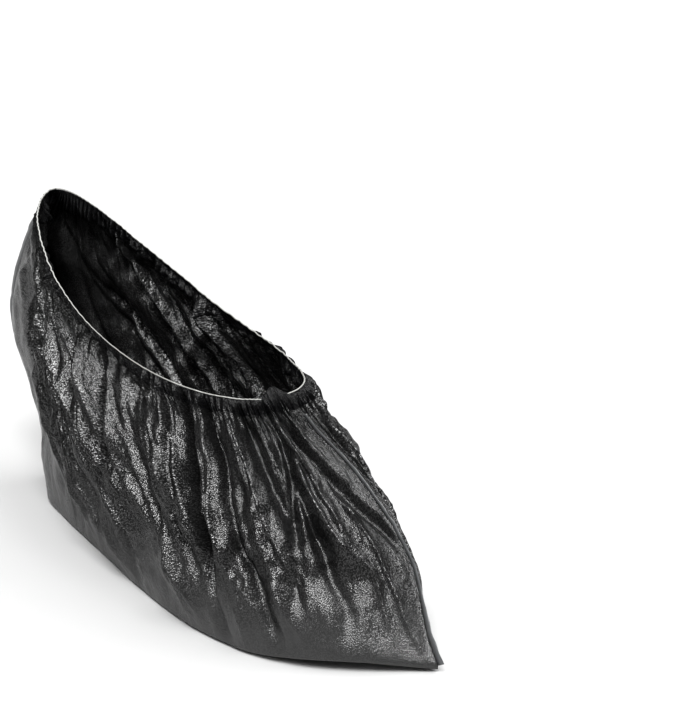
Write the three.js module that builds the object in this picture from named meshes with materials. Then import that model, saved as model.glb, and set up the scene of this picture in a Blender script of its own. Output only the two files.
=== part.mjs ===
// A disposable shoe cover: a bag of embossed polyethylene film in the form that it takes when worn,
// standing on its sole. One sheet is folded under the sole and welded up the heel and over the toe, and an
// elastic gathers its mouth round the ankle.
// Millimetres, +X to the toe, +Z up, the origin below the middle of the cover's box.
import * as THREE from 'three';
import { mergeVertices } from 'three/addons/utils/BufferGeometryUtils.js';

// Walls and edges
const FILM = 1.2; // wall of the bag
const HEM_HEIGHT = 13; // turned edge round the mouth
const HEM_OUT = 0.6; // the hem's face outside the film's surface
const HEM_IN = 1.4; // and inside it
const ELASTIC_WIDTH = 1.8;
const ELASTIC_THICKNESS = 1.4;
const WELD_WIDTH = 3; // sealed edge, standing out from the bag
const WELD_THICKNESS = 1.6;
const GAP = 0.3; // between neighbouring pieces
const SLIT = 0.5; // between the two films inside a welded end

// Where the cover's own zero, the back of the heel on the foot's middle line, lies from the part's origin
const HEEL_TO_ORIGIN = 131.6;
const MIDDLE_TO_ORIGIN = 9.2;

// The sole's outline from the heel end to the toe tip: place along the foot, half width on either side
const SOLE = [
  { x: -6, near: 0, far: 0 },
  { x: 2, near: 17, far: 15 },
  { x: 14, near: 27.5, far: 26 },
  { x: 36, near: 34.5, far: 33 },
  { x: 88, near: 47, far: 41 },
  { x: 137, near: 58, far: 45 },
  { x: 190, near: 65, far: 47 },
  { x: 238, near: 60, far: 44 },
  { x: 266, near: 48, far: 35 },
  { x: 286, near: 33, far: 23 },
  { x: 303, near: 14, far: 10 },
  { x: 313, near: 0, far: 0 },
];
const SOLE_EDGE = 2; // height of the bevel between sole and wall
const SOLE_EDGE_SHARE = 0.06; // its width, as a share of the half sole
const TOE_SPRING = { start: 215, full: 275, height: 8, tipStart: 285, tipShare: 0.2 };
const SPINE = { back: 42, front: 245 }; // the walls face away from this stretch of the middle line

// The mouth, an oval seen from above that climbs to the back
const MOUTH = { back: -5, front: 198, near: 43, far: 36, low: 123, climb: 61, climbPower: 2.6 };
const MOUTH_SQUARENESS = { back: 2.0, front: 2.4 };

// Sections from the heel weld to the toe weld. at is the share of the sole's edge where a section stands,
// mouth the share of the mouth where it ends, and lean the power with which it runs in from the one to the
// other. low, mid and high are how far the film stands out at those heights.
const HEIGHTS = { low: 0.12, mid: 0.5, high: 0.8 };
const SECTIONS = [
  { at: 0.0, mouth: 0.0, lean: 1.0, low: 9, mid: 44, high: 25 },
  { at: 0.07, mouth: 0.05, lean: 1.0, low: 2, mid: 5, high: 4 },
  { at: 0.18, mouth: 0.14, lean: 1.1, low: 2, mid: 7, high: 5 },
  { at: 0.35, mouth: 0.3, lean: 1.4, low: 2, mid: 7, high: 4 },
  { at: 0.5, mouth: 0.47, lean: 1.6, low: 2, mid: 7, high: 4 },
  { at: 0.64, mouth: 0.65, lean: 1.7, low: 2, mid: 5, high: 2 },
  { at: 0.78, mouth: 0.82, lean: 1.6, low: 1, mid: 2, high: -1 },
  { at: 0.9, mouth: 0.93, lean: 1.5, low: -2, mid: -1, high: -4 },
  { at: 1.0, mouth: 1.0, lean: 1.4, low: -6, mid: -3, high: -9 },
];

// The main folds. Each runs from its place in the upper wall to its place near the sole: share of the way
// from heel to toe, share of the way up. width is its half width along the wall, height how far it stands
// out, or sinks in where it is negative.
const FOLDS = [
  { side: 'near', topAt: 0.2, topUp: 0.62, footAt: 0.41, footUp: 0.24, width: 0.03, height: 4 },
  { side: 'near', topAt: 0.3, topUp: 0.42, footAt: 0.52, footUp: 0.04, width: 0.03, height: 4 },
  { side: 'near', topAt: 0.4, topUp: 0.75, footAt: 0.43, footUp: 0.2, width: 0.022, height: 3 },
  { side: 'near', topAt: 0.505, topUp: 0.9, footAt: 0.465, footUp: 0.25, width: 0.022, height: -5 },
  { side: 'near', topAt: 0.57, topUp: 0.8, footAt: 0.62, footUp: 0.2, width: 0.022, height: 4 },
  { side: 'near', topAt: 0.64, topUp: 0.95, footAt: 0.65, footUp: 0.06, width: 0.02, height: -6 },
  { side: 'near', topAt: 0.69, topUp: 0.92, footAt: 0.705, footUp: 0.3, width: 0.02, height: -4 },
  { side: 'near', topAt: 0.83, topUp: 0.7, footAt: 0.78, footUp: 0.25, width: 0.026, height: -5 },
  { side: 'near', topAt: 0.92, topUp: 0.85, footAt: 0.96, footUp: 0.45, width: 0.026, height: -5 },
  { side: 'far', topAt: 0.24, topUp: 0.6, footAt: 0.4, footUp: 0.15, width: 0.03, height: 4 },
  { side: 'far', topAt: 0.47, topUp: 0.9, footAt: 0.5, footUp: 0.15, width: 0.022, height: -5 },
  { side: 'far', topAt: 0.66, topUp: 0.9, footAt: 0.69, footUp: 0.15, width: 0.022, height: -5 },
  { side: 'far', topAt: 0.84, topUp: 0.8, footAt: 0.8, footUp: 0.3, width: 0.026, height: -4 },
];
const FOLD_END = 0.15; // share of a fold's length over which either end rises and falls

// Gathers below the elastic: 16 pleats on either side, each a little higher or lower than the next
const PLEATS = 16;
const PLEAT_HEIGHT = { mouth: 1.2, hem: 2.8 };
const PLEAT_FADE = { shortest: 16, longest: 46 }; // distance below the hem over which a pleat dies out
const PLEAT_CLEAR = 0.045; // plain stretch beside each weld
const PLEAT_PHASE = Math.PI / 4; // of a pleat's four columns, two stand on the crest and two in the hollow

// Fineness of the facets
const HALF_COLUMNS = 64; // four to a pleat
const WALL_ROWS = 14;
const ROW_CROWDING = 1.35; // rows stand closer near the hem
const CURVE_STEPS = 60;
const INNER_SOLE_SHARE = 0.5; // the sole's inner skin has one ring of points, this far in
const FACING_STEP = { round: 0.004, down: 1 }; // how far apart neighbours stand that tell the film's facing
const SHORTEST_EDGE = 1e-3; // a triangle with a shorter edge has shrunk to a line
const SAME_POINT = 1e-4;

// A smooth curve through a table's rows, read by column name
function tableCurve(rows, key, columns) {
  const places = rows.map((row) => row[key]);
  const values = rows.flatMap((row) => columns.map((column) => row[column]));
  const curve = new THREE.CubicInterpolant(places, values, columns.length);
  return (place) => {
    const sample = curve.evaluate(THREE.MathUtils.clamp(place, places[0], places.at(-1)));
    return Object.fromEntries(columns.map((column, i) => [column, sample[i]]));
  };
}

// Each sole row's share of the way along the outline, so that the outline can be walked evenly
const soleRows = SOLE.map((row) => ({ ...row, share: 0 }));
for (let i = 1; i < soleRows.length; i += 1) {
  const before = soleRows[i - 1];
  soleRows[i].share = before.share + Math.hypot(SOLE[i].x - before.x, SOLE[i].near - before.near);
}
const outlineLength = soleRows.at(-1).share;
soleRows.forEach((row) => {
  row.share /= outlineLength;
});

const soleCurve = tableCurve(soleRows, 'share', ['x', 'near', 'far']);
const sectionCurve = tableCurve(SECTIONS, 'at', ['mouth', 'lean', 'low', 'mid', 'high']);

// A place round the cover is a number from -1 to 1: 0 is the heel weld, 1 and -1 the toe weld, and the sign
// tells the near side (+) from the far side (-).
const sideOf = (place) => (place < 0 ? -1 : 1);

function soleLift(x) {
  const rise = THREE.MathUtils.smoothstep(x, TOE_SPRING.start, TOE_SPRING.full);
  const tipLength = SOLE.at(-1).x - TOE_SPRING.tipStart;
  const drop = THREE.MathUtils.clamp((x - TOE_SPRING.tipStart) / tipLength, 0, 1);
  return TOE_SPRING.height * rise * (1 - (1 - TOE_SPRING.tipShare) * drop);
}

function solePoint(place) {
  const { x, near, far } = soleCurve(Math.abs(place));
  return new THREE.Vector3(x, place < 0 ? far : -near, soleLift(x));
}

function mouthPoint(share, side) {
  const angle = Math.PI * share;
  const along = Math.cos(angle);
  const power = 2 / (along > 0 ? MOUTH_SQUARENESS.back : MOUTH_SQUARENESS.front);
  const middle = (MOUTH.back + MOUTH.front) / 2;
  const reach = (MOUTH.front - MOUTH.back) / 2;
  const x = middle - reach * Math.sign(along) * Math.abs(along) ** power;
  const half = Math.abs(Math.sin(angle)) ** power;
  const backness = THREE.MathUtils.clamp((MOUTH.front - x) / (MOUTH.front - MOUTH.back), 0, 1);
  const z = MOUTH.low + MOUTH.climb * backness ** MOUTH.climbPower;
  return new THREE.Vector3(x, side < 0 ? MOUTH.far * half : -MOUTH.near * half, z);
}

// One section as a function of its height share, before pleats and folds
function sectionAt(place) {
  const { mouth, lean, low, mid, high } = sectionCurve(Math.abs(place));
  const foot = solePoint(place);
  const top = mouthPoint(mouth, sideOf(place));
  const spine = new THREE.Vector3(THREE.MathUtils.clamp(foot.x, SPINE.back, SPINE.front), 0, foot.z);
  const outward = foot.clone().sub(spine).normalize();
  const heights = [0, HEIGHTS.low, HEIGHTS.mid, HEIGHTS.high, 1];
  const bulge = new THREE.CubicInterpolant(heights, [0, low, mid, high, 0], 1);
  return (height) => {
    const run = height ** lean;
    const out = bulge.evaluate(height)[0];
    const point = foot.clone().lerp(top, run).addScaledVector(outward, out);
    point.z = THREE.MathUtils.lerp(foot.z + SOLE_EDGE, top.z, height);
    return point;
  };
}

// The same section walked evenly: distances are measured down from the mouth
function walkedSection(place) {
  const section = sectionAt(place);
  const points = [];
  const distances = [0];
  for (let i = 0; i <= CURVE_STEPS; i += 1) {
    points.push(section(1 - i / CURVE_STEPS));
    if (i > 0) distances.push(distances[i - 1] + points[i].distanceTo(points[i - 1]));
  }
  const length = distances.at(-1);
  const pointAt = (distance) => {
    if (distance < 0) {
      const up = points[0].clone().sub(points[1]).normalize();
      return points[0].clone().addScaledVector(up, -distance);
    }
    let i = 1;
    while (i < CURVE_STEPS && distances[i] < distance) i += 1;
    const share = (distance - distances[i - 1]) / (distances[i] - distances[i - 1]);
    return points[i - 1].clone().lerp(points[i], Math.min(share, 1));
  };
  return { length, pointAt };
}

// The direction that the film faces, from its neighbours round the cover and up the wall
const isWeld = (place) => place === 0 || Math.abs(place) === 1;

function faceFrom(place, before, after, downShare) {
  const here = walkedSection(place);
  const distance = downShare * here.length;
  const a = walkedSection(before);
  const b = walkedSection(after);
  const round = b.pointAt(downShare * b.length).sub(a.pointAt(downShare * a.length));
  const up = here.pointAt(distance - FACING_STEP.down).sub(here.pointAt(distance + FACING_STEP.down));
  return round.cross(up).normalize();
}

function facing(place, downShare) {
  if (!isWeld(place)) {
    return faceFrom(place, place - FACING_STEP.round, place + FACING_STEP.round, downShare);
  }
  const inner = place === 0 ? 0 : 1 - FACING_STEP.round;
  const outer = place === 0 ? FACING_STEP.round : 1;
  const near = faceFrom((inner + outer) / 2, inner, outer, downShare);
  const far = near.clone();
  far.y = -far.y;
  return near.add(far).normalize();
}

function pleatHeight(place, distance) {
  const along = Math.abs(place);
  const clear = THREE.MathUtils.smoothstep(Math.min(along, 1 - along), 0, PLEAT_CLEAR);
  const pleat = Math.floor(along * PLEATS) + (place < 0 ? PLEATS : 0);
  const scatter = THREE.MathUtils.seededRandom(pleat);
  const fade = THREE.MathUtils.lerp(PLEAT_FADE.shortest, PLEAT_FADE.longest, scatter);
  const below = Math.max(distance - HEM_HEIGHT, 0);
  const inHem = THREE.MathUtils.clamp(distance / HEM_HEIGHT, 0, 1);
  const height = THREE.MathUtils.lerp(PLEAT_HEIGHT.mouth, PLEAT_HEIGHT.hem, inHem);
  const wave = Math.cos(2 * Math.PI * PLEATS * along + PLEAT_PHASE);
  return clear * height * Math.exp(-below / fade) * wave;
}

function foldHeight(place, upShare) {
  const along = Math.abs(place);
  let sum = 0;
  for (const fold of FOLDS) {
    if ((fold.side === 'far') !== place < 0) continue;
    const way = (upShare - fold.footUp) / (fold.topUp - fold.footUp);
    const begun = THREE.MathUtils.smoothstep(way, -FOLD_END, FOLD_END);
    const ended = THREE.MathUtils.smoothstep(way, 1 - FOLD_END, 1 + FOLD_END);
    const centre = THREE.MathUtils.lerp(fold.footAt, fold.topAt, THREE.MathUtils.clamp(way, 0, 1));
    const across = (along - centre) / fold.width;
    sum += fold.height * begun * (1 - ended) * Math.exp(-(across ** 2));
  }
  return sum;
}

// A column of points down the film: its middle line, and its facing at each point
function filmColumn(place, distances) {
  const walked = walkedSection(place);
  return distances(walked.length).map((distance) => {
    const downShare = distance / walked.length;
    const face = facing(place, downShare);
    const fold = isWeld(place) ? 0 : foldHeight(place, 1 - downShare);
    const height = pleatHeight(place, distance) + fold;
    return { point: walked.pointAt(distance).addScaledVector(face, height), face };
  });
}

// Points moved inward stay on their own side of the middle plane, so that the films in a welded end don't
// cross
function offset({ point, face }, amount, place) {
  const moved = point.clone().addScaledVector(face, amount);
  if (isWeld(place)) {
    moved.y = 0;
  } else {
    moved.y = place < 0 ? Math.max(moved.y, SLIT / 2) : Math.min(moved.y, -SLIT / 2);
  }
  return moved;
}

// Places round the cover, in order: heel, near side, toe, far side
const places = [];
for (let i = 0; i < 2 * HALF_COLUMNS; i += 1) {
  places.push(i <= HALF_COLUMNS ? i / HALF_COLUMNS : i / HALF_COLUMNS - 2);
}

// Strips of triangles from each closed ring of points to the next, as corners three by three
function ringCorners(rings) {
  const count = rings[0].length;
  const corners = [];
  for (let j = 0; j + 1 < rings.length; j += 1) {
    const upper = rings[j];
    const lower = rings[j + 1];
    for (let i = 0; i < count; i += 1) {
      const k = (i + 1) % count;
      corners.push(upper[i], lower[i], upper[k]);
      corners.push(upper[k], lower[i], lower[k]);
    }
  }
  return corners;
}

// One closed solid from loose triangles, without those that have shrunk to a line
function solidFrom(corners) {
  const used = [];
  for (let i = 0; i < corners.length; i += 3) {
    const [a, b, c] = corners.slice(i, i + 3);
    const shortest = Math.min(a.distanceTo(b), b.distanceTo(c), c.distanceTo(a));
    if (shortest > SHORTEST_EDGE) used.push(a, b, c);
  }
  const positions = used.flatMap((corner) => corner.toArray());
  const geometry = new THREE.BufferGeometry();
  geometry.setAttribute('position', new THREE.Float32BufferAttribute(positions, 3));
  const merged = mergeVertices(geometry, SAME_POINT);
  merged.computeVertexNormals();
  return merged;
}

// How far down from the mouth the rows of the wall lie, from just below the hem to the sole's edge
function wallDistances(length) {
  const top = HEM_HEIGHT + GAP;
  const shares = Array.from({ length: WALL_ROWS + 1 }, (_, r) => (r / WALL_ROWS) ** ROW_CROWDING);
  return shares.map((share) => top + share * (length - top));
}

// All columns round the cover at these distances, as rings of points moved out by amount
function wallRings(distances) {
  const columns = places.map((place) => filmColumn(place, distances));
  const ring = (row, amount) => columns.map((column, i) => offset(column[row], amount, places[i]));
  return (amount) => columns[0].map((_, row) => ring(row, amount));
}

// The bag: its outer skin from the hem down the wall and across the sole, then its inner skin back up
function bagGeometry() {
  const wall = wallRings(wallDistances);
  const outer = wall(0);
  const inner = wall(-FILM);
  const soleRing = (ring, share, thickness) =>
    ring.map((point, i) => {
      const twin = ring[(2 * HALF_COLUMNS - i) % (2 * HALF_COLUMNS)];
      const middle = point.clone().add(twin).multiplyScalar(0.5);
      const moved = point.clone().lerp(middle, share);
      moved.z = soleLift(moved.x) + thickness;
      return moved;
    });
  const foot = outer.at(-1);
  const innerFoot = inner.at(-1);
  innerFoot.forEach((point) => {
    point.z = soleLift(point.x) + FILM;
  });
  const outerSole = [soleRing(foot, SOLE_EDGE_SHARE, 0), soleRing(foot, 1, 0)];
  const innerSole = [soleRing(innerFoot, 1, FILM), soleRing(innerFoot, INNER_SOLE_SHARE, FILM)];
  const outerSkin = ringCorners([...outer, ...outerSole]);
  const innerSkin = ringCorners([...innerSole, ...inner.reverse()]);
  const rim = ringCorners([inner.at(-1), outer[0]]);
  return solidFrom([...outerSkin, ...innerSkin, ...rim]);
}

// The hem: a ruffled collar over the top of the film
function hemGeometry() {
  const wall = wallRings(() => [GAP, HEM_HEIGHT / 3, (2 * HEM_HEIGHT) / 3, HEM_HEIGHT]);
  const outer = wall(HEM_OUT);
  return solidFrom(ringCorners([...outer, ...wall(-HEM_IN).reverse(), outer[0]]));
}

// The elastic: a flat ring along the hem's upper edge
function elasticGeometry() {
  const downs = [-ELASTIC_WIDTH, 0];
  const middle = (HEM_OUT - HEM_IN) / 2;
  const ring = (down, amount) =>
    places.map((place) => {
      const point = walkedSection(place).pointAt(down);
      return offset({ point, face: facing(place, 0) }, middle + amount, place);
    });
  const half = ELASTIC_THICKNESS / 2;
  const outer = downs.map((down) => ring(down, half));
  const inner = downs.map((down) => ring(down, -half)).reverse();
  return solidFrom(ringCorners([...outer, ...inner, outer[0]]));
}

// A sealed edge: a thin strip standing out from the bag along one welded end
function weldGeometry(place) {
  const column = filmColumn(place, wallDistances);
  const rings = column.map(({ point, face }) => {
    const root = point.clone().addScaledVector(face, GAP);
    const rim = point.clone().addScaledVector(face, GAP + WELD_WIDTH);
    const side = new THREE.Vector3(0, WELD_THICKNESS / 2, 0);
    const left = [root, rim].map((point) => point.clone().sub(side));
    const right = [rim, root].map((point) => point.clone().add(side));
    const section = [...left, ...right];
    return place === 0 ? section.reverse() : section;
  });
  const corners = [];
  const quad = (a, b, c, d) => corners.push(a, b, c, a, c, d);
  for (let j = 0; j + 1 < rings.length; j += 1) {
    for (let i = 0; i < 4; i += 1) {
      const k = (i + 1) % 4;
      quad(rings[j][i], rings[j + 1][i], rings[j + 1][k], rings[j][k]);
    }
  }
  const first = rings[0];
  const last = rings.at(-1);
  quad(first[0], first[1], first[2], first[3]);
  quad(last[3], last[2], last[1], last[0]);
  return solidFrom(corners);
}

const filmMaterial = new THREE.MeshStandardMaterial({ color: 0x2b2b2c, roughness: 0.38, metalness: 0 });
const hemMaterial = new THREE.MeshStandardMaterial({ color: 0x1c1c1d, roughness: 0.4, metalness: 0 });
const elasticMaterial = new THREE.MeshStandardMaterial({ color: 0xc9c9c6, roughness: 0.55, metalness: 0 });
const weldMaterial = new THREE.MeshStandardMaterial({ color: 0x5a5b5c, roughness: 0.32, metalness: 0 });

const cover = new THREE.Group();
function addPiece(name, geometry, material) {
  const mesh = new THREE.Mesh(geometry, material);
  mesh.name = name;
  cover.add(mesh);
}
addPiece('film_body', bagGeometry(), filmMaterial);
addPiece('gathered_hem', hemGeometry(), hemMaterial);
addPiece('elastic_band', elasticGeometry(), elasticMaterial);
addPiece('heel_weld', weldGeometry(0), weldMaterial);
addPiece('toe_weld', weldGeometry(1), weldMaterial);
cover.position.set(-HEEL_TO_ORIGIN, MIDDLE_TO_ORIGIN, 0);

export default cover;
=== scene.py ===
# %% [markdown]
# # A disposable shoe cover of embossed film
#
# The real object is a bag of black polyethylene film, a few hundredths of a millimetre thick. One sheet is
# folded under the sole and heat-sealed up the heel and over the toe. Its upper edge is turned over an
# elastic, and this gathers the film round the ankle. Five pieces follow: the film, the gathered hem, the
# elastic and the two seals.
#
# A film has no form of its own, so its form comes from what it is stretched over and from how it is
# gathered. It could be simulated, but then each fold would fall anew wherever it liked. Here the worn form
# is worked out with numpy, from tables in millimetres, and the folds are added as heights along the film's
# own facing.

import bpy
import numpy as np
from mathutils import Matrix, Vector


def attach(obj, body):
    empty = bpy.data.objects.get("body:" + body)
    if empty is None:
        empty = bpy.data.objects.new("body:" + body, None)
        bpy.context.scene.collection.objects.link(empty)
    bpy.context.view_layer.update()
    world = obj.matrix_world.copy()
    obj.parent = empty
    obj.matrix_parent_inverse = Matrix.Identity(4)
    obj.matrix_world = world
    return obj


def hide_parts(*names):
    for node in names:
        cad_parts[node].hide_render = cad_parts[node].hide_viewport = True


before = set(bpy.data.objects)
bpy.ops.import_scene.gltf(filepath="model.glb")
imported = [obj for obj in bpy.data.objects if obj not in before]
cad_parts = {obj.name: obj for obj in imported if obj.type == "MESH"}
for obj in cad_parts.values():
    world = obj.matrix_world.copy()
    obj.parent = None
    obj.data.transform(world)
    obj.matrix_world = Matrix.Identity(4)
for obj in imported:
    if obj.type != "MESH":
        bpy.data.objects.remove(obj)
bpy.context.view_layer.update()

# %% [markdown]
# ## The worn form
#
# The tables are in millimetres from the back of the heel, and are those of the CAD part, but for a toe that
# is a little slimmer, springs up a little less and leans over. A place round the cover is a number from -1
# to 1: 0 is the seal at the heel, 1 and -1 the seal at the toe, and the sign tells the near side (+) from
# the far side (-). At each place a section runs from the sole's outline up to the mouth. Up is a share of
# its height: 0 at the sole and 1 at the mouth.

# %% Tables of the worn form
HEEL_TO_ORIGIN, MIDDLE_TO_ORIGIN = 131.6, 9.2  # from the tables' origin to the frame's
SOLE = {
    "x": (-6, 2, 14, 36, 88, 137, 190, 238, 266, 286, 303, 313),
    "near": (0, 17, 27.5, 34.5, 47, 58, 65, 60, 48, 32, 12.5, 0),
    "far": (0, 15, 26, 33, 41, 45, 47, 44, 35, 20, 7, 0),
}
SOLE_EDGE = 2.0  # how high the film's bend round the edge of the sole lies
SPRING = {"start": 220, "full": 280, "height": 6, "tip_start": 288, "tip_share": 0.3}
SPINE = {"back": 42, "front": 245}  # the foot's middle line, from which the sections stand out
MOUTH = {"back": -5, "front": 198, "near": 43, "far": 36, "low": 123, "climb": 61, "power": 2.6}
SQUARENESS = {"back": 2.0, "front": 2.4}  # the mouth's oval: 2 is an ellipse, and more is squarer
SECTIONS = {
    "at": (0.0, 0.07, 0.18, 0.35, 0.5, 0.64, 0.78, 0.9, 1.0),
    "mouth": (0.0, 0.05, 0.14, 0.3, 0.47, 0.65, 0.82, 0.93, 1.0),
    "lean": (1.0, 1.0, 1.1, 1.4, 1.6, 1.7, 1.6, 1.5, 1.4),
    "low": (9, 2, 2, 2, 2, 2, 1, -2, -6),
    "mid": (44, 5, 7, 7, 7, 5, 2, -1, -3),
    "high": (25, 4, 5, 4, 4, 2, -1, -4, -9),
}
BULGE_HEIGHTS = (0, 0.12, 0.5, 0.8, 1)  # the sole, the low, mid and high bulges, and the mouth
SECTION_STEPS = 160
TOE_LEAN = {"most": 11, "risen": 0.35, "falling": 0.65, "near_reach": 0.3, "far_reach": 0.15}
print("sole", SOLE["x"][-1] - SOLE["x"][0], "mm long, mouth", MOUTH["front"] - MOUTH["back"], "mm long")


# %% Curves through a table
def smooth_curve(at, values, wanted):
    """A curve through a table's rows: between two rows a cubic, which has at each row the mean of the slopes
    on its two sides, and at the table's ends the slope of the last piece."""
    at, values = np.asarray(at, float), np.asarray(values, float)
    secants = np.diff(values) / np.diff(at)
    slopes = np.concatenate([secants[:1], (secants[:-1] + secants[1:]) / 2, secants[-1:]])
    wanted = np.clip(wanted, at[0], at[-1])
    k = np.clip(np.searchsorted(at, wanted, side="right") - 1, 0, len(at) - 2)
    span = at[k + 1] - at[k]
    t = (wanted - at[k]) / span
    start = (1 + 2 * t) * (1 - t) ** 2 * values[k] + t * (1 - t) ** 2 * span * slopes[k]
    end = t * t * (3 - 2 * t) * values[k + 1] + t * t * (t - 1) * span * slopes[k + 1]
    return start + end


def smoothstep(value, low, high):
    """0 below low, 1 above high, and 3t^2 - 2t^3 between them."""
    t = np.clip((value - low) / (high - low), 0, 1)
    return t * t * (3 - 2 * t)


def at_least(least, share):
    """A share from 0 to 1, squeezed so that it runs from least to 1."""
    return least + (1 - least) * share


print("mouth above the ball of the foot", smooth_curve(SECTIONS["at"], SECTIONS["mouth"], 0.55).round(3))

# %% [markdown]
# The sole's outline, the mouth and the sections are computed for all places at once. A section leans in
# from the sole's edge to the mouth with a power of its height, and stands out along the line away from the
# foot's middle.


# %% The sole
def sole_lift(x):
    """Height of the sole above the floor: the toe springs up smoothly and comes down again at its tip."""
    tip = np.clip((x - SPRING["tip_start"]) / (SOLE["x"][-1] - SPRING["tip_start"]), 0, 1)
    sprung = SPRING["height"] * smoothstep(x, SPRING["start"], SPRING["full"])
    return sprung * (1 - (1 - SPRING["tip_share"]) * tip)


def sole_points(places):
    """The sole's outline by share of its near side's length, as points with the lift as z."""
    steps = np.hypot(np.diff(SOLE["x"]), np.diff(SOLE["near"]))
    share = np.concatenate([[0], np.cumsum(steps)]) / steps.sum()
    x, near, far = (smooth_curve(share, SOLE[key], np.abs(places)) for key in ("x", "near", "far"))
    return np.stack([x, np.where(places < 0, far, -near), sole_lift(x)], -1)


print("sole at the ball of the foot", sole_points(np.array([0.6, -0.6])).round(1).tolist())


# %% The mouth
def mouth_points(shares, places):
    """An oval whose cosine and sine have a power, and which climbs to the back with a power of its length."""
    angle = np.pi * shares
    along = np.cos(angle)
    power = 2 / np.where(along > 0, SQUARENESS["back"], SQUARENESS["front"])
    length = MOUTH["front"] - MOUTH["back"]
    x = (MOUTH["back"] + MOUTH["front"]) / 2 - length / 2 * np.sign(along) * np.abs(along) ** power
    half = np.abs(np.sin(angle)) ** power
    backness = np.clip((MOUTH["front"] - x) / length, 0, 1)
    y = np.where(places < 0, MOUTH["far"], -MOUTH["near"]) * half
    return np.stack([x, y, MOUTH["low"] + MOUTH["climb"] * backness ** MOUTH["power"]], -1)


print("mouth at heel and toe", mouth_points(np.array([0.0, 1.0]), np.array([0.0, 1.0])).round(1).tolist())


# %% The sections between them
def sections(places):
    """Points of every section from the mouth down, as (places, steps + 1, 3): the sole's point and the
    mouth's, mixed by a power of the height, and moved outwards by the three bulges."""
    keys, here = ("mouth", "lean", "low", "mid", "high"), np.abs(places)
    mouth, lean, low, mid, high = (smooth_curve(SECTIONS["at"], SECTIONS[key], here) for key in keys)
    foot, top = sole_points(places), mouth_points(mouth, places)
    spine_x = np.clip(foot[:, 0], SPINE["back"], SPINE["front"])
    outward = foot[:, :2] - np.stack([spine_x, 0 * spine_x], -1)
    outward /= np.linalg.norm(outward, axis=-1, keepdims=True)
    height = np.linspace(1, 0, SECTION_STEPS + 1)
    only_one = np.eye(len(BULGE_HEIGHTS))
    shapes = np.stack([smooth_curve(BULGE_HEIGHTS, only_one[k], height) for k in (1, 2, 3)])
    bulge = np.stack([low, mid, high], -1) @ shapes
    run = height[None, :, None] ** lean[:, None, None]
    xy = foot[:, None, :2] * (1 - run) + top[:, None, :2] * run + outward[:, None] * bulge[:, :, None]
    z = (foot[:, 2, None] + SOLE_EDGE) * (1 - height) + top[:, 2, None] * height
    return np.concatenate([xy, z[:, :, None]], -1)


def walked(curve, downs):
    """Points at distances down from the mouth along each section; a negative distance runs on above it."""
    steps = np.linalg.norm(np.diff(curve, axis=1), axis=-1)
    along = np.concatenate([np.zeros((len(curve), 1)), np.cumsum(steps, axis=1)], 1)
    k = (along[:, None, :] <= downs[:, :, None]).sum(-1) - 1
    k = np.clip(k, 0, curve.shape[1] - 2)
    rows = np.arange(len(curve))[:, None]
    share = (downs - along[rows, k]) / (along[rows, k + 1] - along[rows, k])
    return curve[rows, k] * (1 - share[..., None]) + curve[rows, k + 1] * share[..., None]


def wall_lengths(curve):
    """The length of each section from the mouth to the sole's edge."""
    return np.linalg.norm(np.diff(curve, axis=1), axis=-1).sum(1)


def all_places(half):
    """Places of 2 * half columns: the near side from heel to toe, then the far side back to the heel."""
    return np.concatenate([np.arange(half + 1) / half, np.arange(1 - half, 0) / half])


HALF = 440  # columns from the heel seal to the toe seal on one side
PLACES = all_places(HALF)
CURVES = sections(PLACES)
LENGTHS = wall_lengths(CURVES)
print(len(PLACES), "columns, walls", LENGTHS.min().round(1), "to", LENGTHS.max().round(1), "mm long")


# %% The toe's lean
def toe_lean(places, up):
    """How far the toe seal and the walls beside it lean over to the far side: most halfway up."""
    reach = np.where(places < 0, TOE_LEAN["far_reach"], TOE_LEAN["near_reach"])
    beside = smoothstep((np.abs(places) - 1 + reach) / reach, 0, 1)[:, None]
    halfway = smoothstep(up, 0, TOE_LEAN["risen"]) * (1 - smoothstep(up, TOE_LEAN["falling"], 1))
    return TOE_LEAN["most"] * beside * halfway


print("lean of the toe seal", toe_lean(np.array([1.0]), np.array([[0.1, 0.5, 0.9]])).round(1).tolist(), "mm")

# %% [markdown]
# ## Gathers, folds and creases
#
# The elastic draws some 800 mm of film into a mouth of 500 mm. Right below it the film stands in fine
# pleats, which are about 4 mm apart at the mouth. Further down these run together into ever fewer and wider
# ones, and the last ones reach the sole. A worn cover also has crisp creases, which are left from the
# packed, folded state. All of them are heights in millimetres over the film's two coordinates: along the
# film from the heel seal, and down from the mouth.

# %% Noise, and distances along the film
SIDE_LENGTH = 400.0  # millimetres of film between the two seals
NOISE_CELLS = 256
SEEDS = {
    "fold bend": 5,
    "heel wave": 61,
    "heel ripple": 62,
    "toe wave": 63,
    "toe ripple": 64,
    "seal flutter": 71,
    "seal rim": 72,
    "bare edge": 81,
    "packed edge": 83,
    "packed columns": 84,
    "sole ripple": 91,
}


def value_noise(x, y, seed):
    """Random numbers from -1 to 1 on a lattice of unit squares, blended between corners by a smoothstep."""
    table = np.random.default_rng(seed).uniform(-1, 1, (NOISE_CELLS, NOISE_CELLS))
    xi, yi = np.floor(x).astype(int), np.floor(y).astype(int)
    u, v = smoothstep(x - xi, 0, 1), smoothstep(y - yi, 0, 1)

    def corner(i, j):
        return table[(xi + i) % NOISE_CELLS, (yi + j) % NOISE_CELLS]

    near_row = corner(0, 0) * (1 - u) + corner(1, 0) * u
    next_row = corner(0, 1) * (1 - u) + corner(1, 1) * u
    return near_row * (1 - v) + next_row * v


def along_seams(places):
    """Each place's distance in millimetres of film to the heel seal, to the toe seal, and to the nearer one,
    each as a column that goes with rows of distances down."""
    heel = np.abs(places)[:, None] * SIDE_LENGTH
    toe = SIDE_LENGTH - heel
    return heel, toe, np.minimum(heel, toe)


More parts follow.
